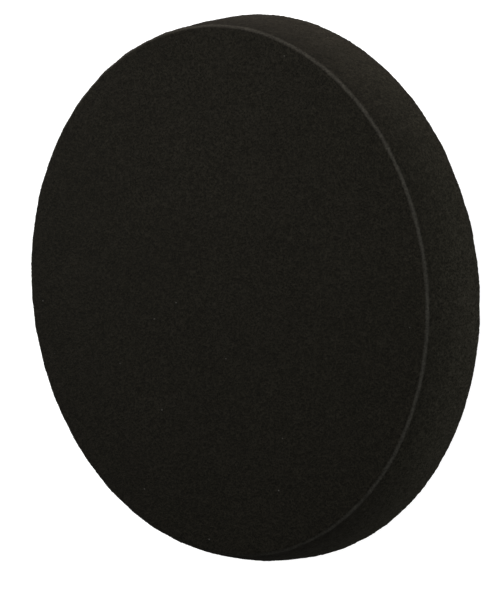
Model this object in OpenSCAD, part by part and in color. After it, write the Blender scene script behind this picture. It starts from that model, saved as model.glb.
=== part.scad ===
// Flat foam polishing pad with a loop fabric back.
// The pad lies on its loops. The origin is the centre of that back face, and +Z points to the
// working face.

/* [Foam] */
// Diameter of the foam at its back, where it is widest
outer_d = 160; // [120:1:230]
// Thickness of the foam
foam_t = 20; // [10:0.1:40]
// Radius of the rounded rim between the side and the working face
edge_r = 1.2; // [0.5:0.1:4]
// Angle by which the side flares outwards from the rim to the back
side_flare = 8; // [0:0.1:20]

/* [Backing] */
// Width of the foam left bare around the loop fabric
backing_inset = 5; // [0:0.5:10]
// Thickness of the adhesive film between the foam and the fabric
film_t = 0.2; // [0.1:0.05:0.5]
// Thickness of the fabric's knitted ground
cloth_t = 0.4; // [0.2:0.05:0.8]
// Height of the fabric's loops when nothing presses on them
pile_h = 1; // [0.5:0.1:2]

/* [Smoothness] */
// Number of sides drawn on a round
round_fn = 180; // [48:12:360]

/* [Hidden] */

foam_colour = "#1b1a16";
film_colour = "#6b6a62";
cloth_colour = "#232326";
pile_colour = "#2d2d31";

outer_r = outer_d / 2;
backing_r = outer_r - backing_inset;

// The layers from the loops up
cloth_z = pile_h;
film_z = cloth_z + cloth_t;
foam_z = film_z + film_t;
face_z = foam_z + foam_t;

// The rim's arc runs into the straight side at this point, where both have the same direction
rim_z = face_z - edge_r;
tangent_z = rim_z + edge_r * sin(side_flare);
tangent_r = outer_r - (tangent_z - foam_z) * tan(side_flare);
rim_r = tangent_r - edge_r * cos(side_flare);

// The foam's half section: a flat face, a rounded rim and a flared side
module foam_section() {
    polygon([
        [0, foam_z],
        [outer_r, foam_z],
        [tangent_r, tangent_z],
        [rim_r, face_z],
        [0, face_z]
    ]);
    translate([rim_r, rim_z])
        circle(r = edge_r, $fn = round_fn / 3);
}

// A round layer of the backing
module layer(bottom_z, thickness) {
    translate([0, 0, bottom_z])
        cylinder(h = thickness, r = backing_r, $fn = round_fn);
}

// Fine-celled foam that carries the polish
module foam_disc() {
    color(foam_colour)
        rotate_extrude($fn = round_fn)
            foam_section();
}

// Film that bonds the fabric to the foam
module adhesive_film() {
    color(film_colour)
        layer(film_z, film_t);
}

// Knitted ground that the loops stand on
module backing_cloth() {
    color(cloth_colour)
        layer(cloth_z, cloth_t);
}

// The space that the brushed loops fill, down to the surface that the pad lies on
module loop_pile() {
    color(pile_colour)
        layer(0, pile_h);
}

foam_disc();
adhesive_film();
backing_cloth();
loop_pile();
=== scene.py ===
# A flat foam polishing pad that lies on its loop fabric back, working face up.
import math

import bpy
import numpy as np
from mathutils import Matrix, Vector, noise


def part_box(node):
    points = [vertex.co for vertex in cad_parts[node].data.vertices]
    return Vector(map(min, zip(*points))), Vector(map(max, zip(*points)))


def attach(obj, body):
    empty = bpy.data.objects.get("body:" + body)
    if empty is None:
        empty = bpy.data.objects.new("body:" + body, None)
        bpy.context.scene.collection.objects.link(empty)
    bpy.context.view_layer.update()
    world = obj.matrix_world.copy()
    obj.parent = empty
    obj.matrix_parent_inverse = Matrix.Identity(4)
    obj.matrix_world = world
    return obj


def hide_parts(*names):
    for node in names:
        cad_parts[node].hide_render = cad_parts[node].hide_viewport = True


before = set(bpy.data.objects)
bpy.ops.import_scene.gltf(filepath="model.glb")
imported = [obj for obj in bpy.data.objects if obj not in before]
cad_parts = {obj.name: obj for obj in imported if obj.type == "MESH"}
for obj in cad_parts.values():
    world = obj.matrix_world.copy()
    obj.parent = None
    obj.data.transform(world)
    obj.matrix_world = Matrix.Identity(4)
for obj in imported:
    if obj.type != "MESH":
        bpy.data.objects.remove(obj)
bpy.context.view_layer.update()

MM = 0.001
FOAM_LOW, FOAM_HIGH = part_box("foam_disc")
FILM_LOW, FILM_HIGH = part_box("adhesive_film")
CLOTH_LOW, CLOTH_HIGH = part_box("backing_cloth")
PILE_LOW, PILE_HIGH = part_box("loop_pile")
OUTER_R = FOAM_HIGH.x
BACKING_R = PILE_HIGH.x
rng = np.random.default_rng(7)

# Foam shape, as in the CAD model
EDGE_R = 1.2 * MM
SIDE_FLARE = math.radians(8)
# What the cutting and use add to it: a soft edge at the back, a crown on the side, and how much less
# crown there is towards +Y than in the middle
BACK_EDGE_R = 0.25 * MM
SIDE_CROWN = 0.6 * MM
CROWN_SWING = 0.4 * MM
# How far the face leans over the back, because the cut isn't quite square
LEAN = np.array((-0.05, 0.40)) * MM

# How far the cut wanders, how rough its grain is and how deep its pores are, on a flat face,
# and how much more on the side
CUT_WANDER = (0.05 * MM, 0.13 * MM)
GRAIN_DEPTH = (0.035 * MM, 0.05 * MM)
PORE_DEPTH = (0.018 * MM, 0.022 * MM)

# Width of the foam's cells. The usual distance between specks of lint, the radius at which a speck
# starts to fade, and the radius at which it ends
CELL = 0.5 * MM
LINT_GAP = 9 * MM
LINT_CORE = 0.162 * MM
LINT_EDGE = 0.252 * MM

# Spacing of the foam's vertices: where the backing hides it, on the bare back, on the turns at the
# back's and the face's edges, on the side and on the face
HIDDEN_STEP = 6 * MM
BARE_STEP = 0.8 * MM
TURN_STEP = 0.6 * MM
RIM_STEP = 0.42 * MM
SIDE_ROW, SIDE_STEP = 0.55 * MM, 0.6 * MM
FACE_ROW, FACE_STEP = 0.66 * MM, 0.72 * MM

# How far inside the backing's edge the foam's hidden vertices stop
HIDDEN_INSET = 1.5 * MM

# Spacing of the vertices on the film and the cloth, on their soft edge and on the cloth's knitted
# underside, how far their outline wanders and how rough the knit is
PLAIN_STEP = 3 * MM
SOFT_EDGE_STEP = 0.7 * MM
KNIT_STEP = 0.8 * MM
OUTLINE_WANDER = 0.15 * MM
KNIT_ROUGHNESS = 0.03 * MM

# Loop fabric: the bare edge round the loops, their spacing along and between the rows, their width,
# their yarn, and how far their ends reach into the cloth
LOOP_INSET = 0.6 * MM
LOOP_PITCH = 1.70 * MM
ROW_PITCH = 0.87 * MM
LOOP_WIDTH = 1.15 * MM
YARN_R = 0.13 * MM
LOOP_ROOT = 0.05 * MM


# ---------------------------------------------------------------- meshes


def new_object(name, points, faces, material, smooth=True):
    mesh = bpy.data.meshes.new(name)
    mesh.from_pydata(points.tolist(), [], faces.tolist())
    mesh.validate()
    mesh.polygons.foreach_set("use_smooth", [smooth] * len(mesh.polygons))
    mesh.materials.append(material)
    piece = bpy.data.objects.new(name, mesh)
    bpy.context.scene.collection.objects.link(piece)
    return piece


def zip_rings(first_a, count_a, phase_a, first_b, count_b, phase_b):
    """Triangles between two rings of vertices whose counts differ."""
    mid_a = (np.arange(count_a) + 0.5 + phase_a) / count_a
    mid_b = (np.arange(count_b) + 0.5 + phase_b) / count_b
    is_a = np.r_[np.ones(count_a, bool), np.zeros(count_b, bool)]
    is_a = is_a[np.argsort(np.r_[mid_a, mid_b], kind="stable")]
    at_a = np.cumsum(is_a) - is_a
    at_b = np.cumsum(~is_a) - ~is_a
    a0, a1 = first_a + at_a % count_a, first_a + (at_a + 1) % count_a
    b0, b1 = first_b + at_b % count_b, first_b + (at_b + 1) % count_b
    return np.where(is_a[:, None], np.c_[a0, a1, b0], np.c_[a0, b1, b0])


def lathe(profile):
    """A closed surface of revolution from (radius, z, spacing) rows, which run from the axis below,
    out and up to the axis above. Gives the points, the triangles, and each point's row."""
    points, rows, faces, last = [], [], [], None
    total = 0
    for row, (radius, z, spacing) in enumerate(profile):
        count = max(6, round(2 * math.pi * radius / spacing)) if radius > 0 else 1
        phase = rng.random()
        turn = 2 * math.pi * (np.arange(count) + phase) / count
        points.append(np.c_[radius * np.cos(turn), radius * np.sin(turn), np.full(count, z)])
        rows.append(np.full(count, row))
        if last is not None:
            faces.append(zip_rings(*last, total, count, phase))
        last = (total, count, phase)
        total += count
    faces = np.vstack(faces)
    used = (faces[:, 0] != faces[:, 1]) & (faces[:, 1] != faces[:, 2]) & (faces[:, 2] != faces[:, 0])
    return np.vstack(points), faces[used], np.concatenate(rows)


def outward(points, nr, nz):
    """Unit normals from their radial and axial parts."""
    radius = np.maximum(np.hypot(points[:, 0], points[:, 1]), 1e-9)
    return np.c_[points[:, 0] / radius * nr, points[:, 1] / radius * nr, nz]


def waves(points, size):
    """Smooth noise in two octaves, from about -1 to 1, with features of the given size."""
    return np.array([noise.fractal(Vector(p / size), 1.0, 2.0, 2) for p in points])


# ---------------------------------------------------------------- materials

# Linear colours of the foam, the painted highlight along its rim, lint, the backing and the floor
FOAM_PORE, FOAM_WALL = (0.0051, 0.0047, 0.0035, 1), (0.0116, 0.0107, 0.0080, 1)
RIM_HIGHLIGHT_PORE, RIM_HIGHLIGHT_WALL = (0.0130, 0.0123, 0.0101, 1), (0.0252, 0.0239, 0.0198, 1)
LINT = (0.085, 0.083, 0.076, 1)
FILM_DARK, FILM_PALE = (0.05, 0.049, 0.042, 1), (0.11, 0.108, 0.095, 1)
KNIT_GAP, KNIT_YARN = (0.006, 0.006, 0.007, 1), (0.022, 0.022, 0.025, 1)
LOOP_YARN = (0.026, 0.026, 0.029)
FLOOR_DARK, FLOOR_PALE = (0.30, 0.30, 0.30, 1), (0.32, 0.32, 0.32, 1)
WHITE = (1, 1, 1, 1)


class Nodes:
    """A short way to write a material's nodes."""

    def __init__(self, name):
        self.material = bpy.data.materials.new(name)
        self.material.use_nodes = True
        self.tree = self.material.node_tree
        self.shader = self.tree.nodes["Principled BSDF"]
        self.place = self.add("ShaderNodeTexCoord").outputs["Object"]

    def add(self, kind, inputs=None, **settings):
        node = self.tree.nodes.new(kind)
        for key, value in settings.items():
            setattr(node, key, value)
        for key, value in (inputs or {}).items():
            if isinstance(value, bpy.types.NodeSocket):
                self.tree.links.new(value, node.inputs[key])
            else:
                node.inputs[key].default_value = value
        return node

    def noise(self, size, detail=2.0):
        where = {"Vector": self.place, "Scale": 1 / size, "Detail": detail}
        return self.add("ShaderNodeTexNoise", where).outputs["Fac"]

    def cells(self, size, output="Distance"):
        where = {"Vector": self.place, "Scale": 1 / size}
        return self.add("ShaderNodeTexVoronoi", where).outputs[output]

    def ramp(self, value, low, high, to_low=0.0, to_high=1.0):
        inputs = {"Value": value, "From Min": low, "From Max": high, "To Min": to_low, "To Max": to_high}
        return self.add("ShaderNodeMapRange", inputs).outputs["Result"]

    def spread(self, value, low, high):
        """Noise, which mostly lies between 0.3 and 0.7, stretched over the given range."""
        return self.ramp(value, 0.3, 0.7, low, high)

    def times(self, a, b):
        return self.maths("MULTIPLY", a, b)

    def scaled(self, colour, factor):
        inputs = {0: colour, "Scale": factor}
        return self.add("ShaderNodeVectorMath", inputs, operation="SCALE").outputs[0]

    def maths(self, operation, a, b):
        return self.add("ShaderNodeMath", {0: a, 1: b}, operation=operation).outputs[0]

    def mix(self, share, a, b):
        node = self.add("ShaderNodeMix", {"Factor": share, 6: a, 7: b}, data_type="RGBA")
        return node.outputs[2]

    def attribute(self, name):
        return self.add("ShaderNodeAttribute", attribute_name=name).outputs["Fac"]

    def bump(self, height, depth, strength=1.0):
        inputs = {"Height": height, "Distance": depth, "Strength": strength}
        return self.add("ShaderNodeBump", inputs).outputs["Normal"]

    def into(self, **sockets):
        for name, value in sockets.items():
            socket = self.shader.inputs[name.replace("_", " ")]
            if isinstance(value, bpy.types.NodeSocket):
                self.tree.links.new(value, socket)
            else:
                socket.default_value = value
        return self.material


def foam_material():
    """Black foam: cells with lighter walls, a painted highlight along the rim, painted light that makes
    the side lighter towards the back, and specks of lint.
    """
    n = Nodes("black_foam")
    cell = n.cells(CELL)
    per_cell = n.add("ShaderNodeSeparateColor", {"Color": n.cells(CELL, output="Color")}).outputs["Red"]
    clump = n.noise(1.0 * MM, 3.0)
    broad = n.noise(22 * MM)
    walls = n.ramp(cell, 0.15, 0.75)
    tone = n.times(n.spread(clump, 0.78, 1.22), n.spread(broad, 0.95, 1.05))
    tone = n.times(tone, n.ramp(per_cell, 0.0, 1.0, 0.68, 1.32))
    blotch = n.times(n.spread(n.noise(1.7 * MM), -0.08, 0.08), n.attribute("side"))
    tone = n.times(tone, n.maths("ADD", blotch, 1.0))
    # Painted light: the side is painted lighter towards the back, where light from behind falls on it
    up = n.add("ShaderNodeSeparateXYZ", {0: n.place}).outputs["Z"]
    tone = n.times(tone, n.ramp(up, FOAM_LOW.z, FOAM_HIGH.z - EDGE_R, 1.50, 0.78))
    foam_colour = n.scaled(n.mix(walls, FOAM_PORE, FOAM_WALL), tone)
    # Painted highlight on the rim's turn: lighter cells that take the place of the foam's colour there
    rim_highlight_colour = n.scaled(n.mix(walls, RIM_HIGHLIGHT_PORE, RIM_HIGHLIGHT_WALL), n.ramp(per_cell, 0.0, 1.0, 0.85, 1.15))
    colour = n.mix(n.attribute("painted_rim_highlight"), foam_colour, rim_highlight_colour)
    lint = n.ramp(n.cells(LINT_GAP), LINT_CORE / LINT_GAP, LINT_EDGE / LINT_GAP, 1.0, 0.0)
    colour = n.mix(lint, colour, LINT)
    height = n.maths("ADD", walls, n.times(clump, 0.8))
    return n.into(
        Base_Color=colour,
        Roughness=n.spread(clump, 0.86, 0.98),
        Specular_IOR_Level=0.02,
        Sheen_Weight=0.006,
        Sheen_Roughness=0.5,
        Sheen_Tint=(1.0, 0.92, 0.78, 1),
        Normal=n.bump(height, 0.08 * MM, 0.7),
    )


def film_material():
    """Greyish film with faint streaks."""
    n = Nodes("adhesive_film")
    streak = n.noise(3 * MM, 3.0)
    return n.into(
        Base_Color=n.mix(streak, FILM_DARK, FILM_PALE),
        Roughness=n.spread(streak, 0.3, 0.5),
        Normal=n.bump(n.noise(0.5 * MM), 0.03 * MM),
    )


def knit_material():
    """Black knitted ground with fine ribs."""
    n = Nodes("black_knit")
    wave = n.add(
        "ShaderNodeTexWave",
        {"Vector": n.place, "Scale": 1 / LOOP_PITCH / 2, "Distortion": 1.5, "Detail": 2.0},
        bands_direction="X",
    ).outputs["Fac"]
    yarn = n.cells(0.3 * MM)
    height = n.maths("ADD", wave, yarn)
    return n.into(
        Base_Color=n.mix(height, KNIT_GAP, KNIT_YARN),
        Roughness=n.ramp(yarn, 0.0, 0.8, 0.75, 0.95),
        Specular_IOR_Level=0.15,
        Sheen_Weight=0.08,
        Normal=n.bump(height, 0.15 * MM),
    )


def loop_material():
    """Charcoal multifilament yarn with a slight gloss."""
    n = Nodes("black_loops")
    strand = n.noise(0.25 * MM)
    patch = n.noise(9 * MM)
    tone = n.times(n.spread(strand, 0.7, 1.3), n.spread(patch, 0.9, 1.1))
    return n.into(
        Base_Color=n.scaled(LOOP_YARN, tone),
        Roughness=n.spread(strand, 0.42, 0.62),
        Specular_IOR_Level=0.4,
        Sheen_Weight=0.1,
        Normal=n.bump(strand, 0.04 * MM),
    )


# ---------------------------------------------------------------- the pad


def arc(centre_r, centre_z, radius, start, end, steps, spacing):
    """Profile rows round an arc, with angles from straight out towards straight up."""
    return [
        (centre_r + radius * math.cos(t), centre_z + radius * math.sin(t), spacing)
        for t in np.linspace(start, end, steps)
    ]


def steps_between(start, end, spacing):
    return max(2, round(abs(end - start) / spacing) + 1)


def foam_profile():
    """(radius, z, spacing) from the middle of the back, out, up the side and in over the face."""
    low, high = FOAM_LOW.z, FOAM_HIGH.z
    rim_z = high - EDGE_R
    tangent_z = rim_z + EDGE_R * math.sin(SIDE_FLARE)
    tangent_r = OUTER_R - (tangent_z - low) * math.tan(SIDE_FLARE)
    rim_r = tangent_r - EDGE_R * math.cos(SIDE_FLARE)

    hidden_r = BACKING_R - HIDDEN_INSET
    rows = [(r, low, HIDDEN_STEP) for r in np.arange(0, hidden_r, HIDDEN_STEP)]
    back_r, back_z = OUTER_R - BACK_EDGE_R, low + BACK_EDGE_R
    rows += [(r, low, BARE_STEP) for r in np.linspace(hidden_r, back_r, 10)]
    rows += arc(back_r, back_z, BACK_EDGE_R, -math.pi / 2, SIDE_FLARE, 5, TURN_STEP)[1:]

    start_r, start_z = rows[-1][:2]
    for s in np.linspace(0, 1, steps_between(start_z, tangent_z, SIDE_ROW))[1:]:
        r, z = start_r + (tangent_r - start_r) * s, start_z + (tangent_z - start_z) * s
        rows.append((r, z, SIDE_STEP))
    rows += arc(rim_r, rim_z, EDGE_R, SIDE_FLARE, math.pi / 2, 9, RIM_STEP)[1:]
    face = np.linspace(rim_r, 0, steps_between(rim_r, 0, FACE_ROW))[1:]
    rows += [(max(r, 0.0), high, FACE_STEP) for r in face]
    return rows, rim_z, tangent_z


def foam_disc():
    """The foam, with its crowned side, its lean, and its uneven cut, grain and pores."""
    profile, rim_z, tangent_z = foam_profile()
    points, faces, row = lathe(profile)
    r, z = np.array(profile)[:, 0], np.array(profile)[:, 1]
    slope_r, slope_z = np.gradient(r), np.gradient(z)
    length = np.maximum(np.hypot(slope_r, slope_z), 1e-12)
    nr, nz = (slope_z / length)[row], (-slope_r / length)[row]
    normals = outward(points, nr, nz)

    # How far each vertex is on the side, and on the middle of the rim's turn
    on_side = np.clip(nr, 0, 1)
    on_rim = np.clip(2 * np.abs(nr * nz), 0, 1) * (points[:, 2] > rim_z)
    share = np.clip((points[:, 2] - FOAM_LOW.z) / (tangent_z - FOAM_LOW.z), 0, 1)
    # The crown is a parabola, highest halfway up the side
    crown = 4 * share * (1 - share) * (nr > 0.5)
    crown *= SIDE_CROWN - CROWN_SWING * points[:, 1] / OUTER_R
    points = points + normals * crown[:, None]
    points[:, :2] += share[:, None] * LEAN
    cut = waves(points, 7 * MM)
    grain = waves(points, 1.3 * MM)
    pores = rng.normal(size=len(points))
    depth = np.zeros(len(points))
    for pattern, (everywhere, side) in ((cut, CUT_WANDER), (grain, GRAIN_DEPTH), (pores, PORE_DEPTH)):
        depth += pattern * (everywhere + side * on_side)
    points = points + normals * depth[:, None]
    # Painted highlight: lighter colour where the rim turns most, where the light catches its edge
    painted_rim_highlight = np.clip(on_rim - 0.4, 0, 1) / 0.6 * (0.9 + 0.2 * waves(points, 4 * MM))

    piece = new_object("foam_disc_cells", points, faces, foam_material())
    # Keeps the painted rim highlight and the share of side on the mesh for the material
    for name, value in (("painted_rim_highlight", painted_rim_highlight), ("side", on_side)):
        layer = piece.data.attributes.new(name, "FLOAT", "POINT")
        layer.data.foreach_set("value", np.clip(value, 0, 1).astype(np.float32))
    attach(piece, "root")
    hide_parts("foam_disc")


def flat_disc(name, low, high, radius, material, spacing_below, spacing_above, rough):
    """A thin closed disc with a soft edge and a slightly uneven outline."""
    half = (high - low) / 2
    flat_r = radius - half
    below = np.linspace(0, flat_r, steps_between(0, radius, spacing_below))
    rows = [(r, low, spacing_below) for r in below]
    rows += arc(flat_r, low + half, half, -math.pi / 2, math.pi / 2, 5, SOFT_EDGE_STEP)[1:]
    above = np.linspace(flat_r, 0, steps_between(0, radius, spacing_above))[1:]
    rows += [(max(r, 0.0), high, spacing_above) for r in above]
    points, faces, _ = lathe(rows)
    reach = np.hypot(points[:, 0], points[:, 1]) / radius
    edge = np.clip((reach - 0.98) / 0.02, 0, 1) * waves(points, 5 * MM)
    points[:, :2] *= (1 + edge * OUTLINE_WANDER / radius)[:, None]
    under = points[:, 2] < low + half / 2
    points[under, 2] += rng.normal(size=under.sum()) * rough
    return new_object(name, points, faces, material)


def adhesive_film():
    piece = flat_disc("adhesive_film_sheet", FILM_LOW.z, FILM_HIGH.z, BACKING_R, film_material(),
                      PLAIN_STEP, PLAIN_STEP, 0.0)
    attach(piece, "root")
    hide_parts("adhesive_film")


def backing_cloth():
    piece = flat_disc("backing_cloth_knit", CLOTH_LOW.z, CLOTH_HIGH.z, BACKING_R, knit_material(),
                      KNIT_STEP, PLAIN_STEP, KNIT_ROUGHNESS)
    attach(piece, "root")
    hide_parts("backing_cloth")


def loop_pile(name, first_row, material):
    """Every second row of the small arched loops under the cloth, each a bent three-sided tube."""
    reach = BACKING_R - LOOP_INSET
    columns = int(reach / LOOP_PITCH) + 1
    rows = int(reach / ROW_PITCH) + 1
    grid = np.array([((i + 0.25 * (j % 4)) * LOOP_PITCH, j * ROW_PITCH)
                     for i in range(-columns, columns + 1)
                     for j in range(-rows + first_row, rows + 1, 2)])
    grid += rng.normal(scale=0.12 * LOOP_PITCH, size=grid.shape)
    grid = grid[np.hypot(grid[:, 0], grid[:, 1]) < reach]
    count = len(grid)
    segments, sides = 5, 3
    turn = rng.normal(scale=0.7, size=count)
    lean = rng.normal(scale=0.35, size=count)
    width = LOOP_WIDTH * rng.uniform(0.8, 1.2, count)
    tall = (PILE_HIGH.z - PILE_LOW.z) - YARN_R
    height = tall * rng.uniform(0.72, 1.0, count)
    root = PILE_HIGH.z + LOOP_ROOT

    along = np.linspace(0, math.pi, segments + 1)
    span, drop = -np.cos(along) / 2, np.sin(along) ** 0.8
    forward = np.c_[np.cos(turn), np.sin(turn)]
    aside = np.c_[-forward[:, 1], forward[:, 0]]
    points = np.zeros((count, segments + 1, sides, 3))
    for k in range(segments + 1):
        centre = grid + forward * (width * span[k])[:, None]
        centre = centre + aside * (height * drop[k] * np.tan(lean))[:, None]
        z = root - (height + LOOP_ROOT) * drop[k]
        slope = np.array([math.sin(along[k]) / 2, -math.cos(along[k])])
        slope /= np.hypot(*slope)
        for s in range(sides):
            a = 2 * math.pi * s / sides
            out = math.cos(a) * YARN_R
            over = math.sin(a) * YARN_R
            points[:, k, s, :2] = centre + aside * out - forward * (slope[1] * over)
            points[:, k, s, 2] = z + slope[0] * over
    index = np.arange(count * (segments + 1) * sides).reshape(count, segments + 1, sides)
    faces = []
    for s in range(sides):
        a, b = index[:, :-1, s], index[:, :-1, (s + 1) % sides]
        c, d = index[:, 1:, s], index[:, 1:, (s + 1) % sides]
        faces += [np.stack([a, b, d], -1).reshape(-1, 3), np.stack([a, d, c], -1).reshape(-1, 3)]
    faces += [index[:, 0, ::-1], index[:, -1, :]]
    points = points.reshape(-1, 3)
    points[:, 2] = np.maximum(points[:, 2], PILE_LOW.z)
    piece = new_object(name, points, np.vstack(faces), material)
    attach(piece, "root")
    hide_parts("loop_pile")


# ---------------------------------------------------------------- studio

# How the face is turned from the camera, and its centre as the camera sees it
FACE_TURN = math.radians(41.7)
FACE_DROP = math.radians(5.08)
FACE_CENTRE = Vector((-9.15, 1.90, -1013.0)) * MM
LENS_MM = 210
SENSOR_MM = 36

# How brightly the sky lights the pad, and how brightly the camera sees the sky and the floor
SKY_LIGHT = 0.16
SKY_SEEN = 1.0
FLOOR_GLOW = 0.95


def camera():
    """Looks down on the face from its +X side, and sees the pad's +Y as up."""
    data = bpy.data.cameras.new("camera")
    data.lens = LENS_MM
    data.sensor_width = SENSOR_MM
    z = Vector((-math.sin(FACE_TURN) * math.cos(FACE_DROP), -math.sin(FACE_DROP),
                math.cos(FACE_TURN) * math.cos(FACE_DROP)))
    y = (Vector((0, 1, 0)) - z * z.y).normalized()
    turn = Matrix((y.cross(z), y, z)).to_4x4()
    face = Matrix.Translation((0, 0, FOAM_HIGH.z))
    seen = bpy.data.objects.new("camera", data)
    bpy.context.scene.collection.objects.link(seen)
    seen.matrix_world = face @ turn @ Matrix.Translation(-FACE_CENTRE)
    bpy.context.scene.camera = seen


def floor():
    """A white floor, which lights the pad only with what it reflects."""
    size = 30.0
    points = np.array([(-size, -size, 0), (size, -size, 0), (size, size, 0), (-size, size, 0)])
    n = Nodes("pale_floor")
    mottle = n.noise(400 * MM)
    seen = n.add("ShaderNodeLightPath").outputs["Is Camera Ray"]
    material = n.into(
        Base_Color=n.mix(mottle, FLOOR_DARK, FLOOR_PALE),
        Roughness=0.9,
        Specular_IOR_Level=0.0,
        Emission_Color=WHITE,
        Emission_Strength=n.times(seen, FLOOR_GLOW),
    )
    new_object("floor", points, np.array([[0, 1, 2, 3]]), material, smooth=False)


def area_light(name, towards, distance, size, power, colour=(1, 1, 1)):
    """A soft oval lamp in the given direction from the pad, facing it."""
    data = bpy.data.lights.new(name, "AREA")
    data.shape = "ELLIPSE"
    data.size, data.size_y = size
    data.energy = power
    data.color = colour
    lamp = bpy.data.objects.new(name, data)
    bpy.context.scene.collection.objects.link(lamp)
    direction = Vector(towards).normalized()
    lamp.location = direction * distance
    lamp.rotation_mode = "QUATERNION"
    lamp.rotation_quaternion = direction.to_track_quat("Z", "Y")
    lamp.visible_camera = False


def studio():
    """A dim even sky that the camera sees as white, and four lamps."""
    world = bpy.data.worlds.new("studio")
    bpy.context.scene.world = world
    world.use_nodes = True
    tree = world.node_tree
    tree.nodes.clear()
    out = tree.nodes.new("ShaderNodeOutputWorld")
    mix = tree.nodes.new("ShaderNodeMixShader")
    path = tree.nodes.new("ShaderNodeLightPath")
    for slot, strength in ((1, SKY_LIGHT), (2, SKY_SEEN)):
        sky = tree.nodes.new("ShaderNodeBackground")
        sky.inputs["Strength"].default_value = strength
        sky.inputs["Color"].default_value = WHITE
        tree.links.new(sky.outputs[0], mix.inputs[slot])
    tree.links.new(path.outputs["Is Camera Ray"], mix.inputs[0])
    tree.links.new(mix.outputs[0], out.inputs["Surface"])
    area_light("front", (0.02, 0.14, 0.22), 0.25, (0.50, 0.10), 0.71)
    area_light("top", (-0.31, 0.95, 0.05), 0.9, (0.56, 0.56), 19.5, (1, 0.91, 0.89))
    area_light("side", (1.0, -0.16, 0.07), 0.9, (0.5, 0.5), 10.9, (0.96, 0.98, 1))
    area_light("fill", (-1.0, 0.05, 0.16), 0.35, (0.2, 0.2), 1.0)
    bpy.context.scene.view_settings.view_transform = "Standard"


camera()
foam_disc()
adhesive_film()
backing_cloth()
yarn = loop_material()
loop_pile("loop_pile_odd_rows", 1, yarn)
loop_pile("loop_pile_even_rows", 0, yarn)
floor()
studio()
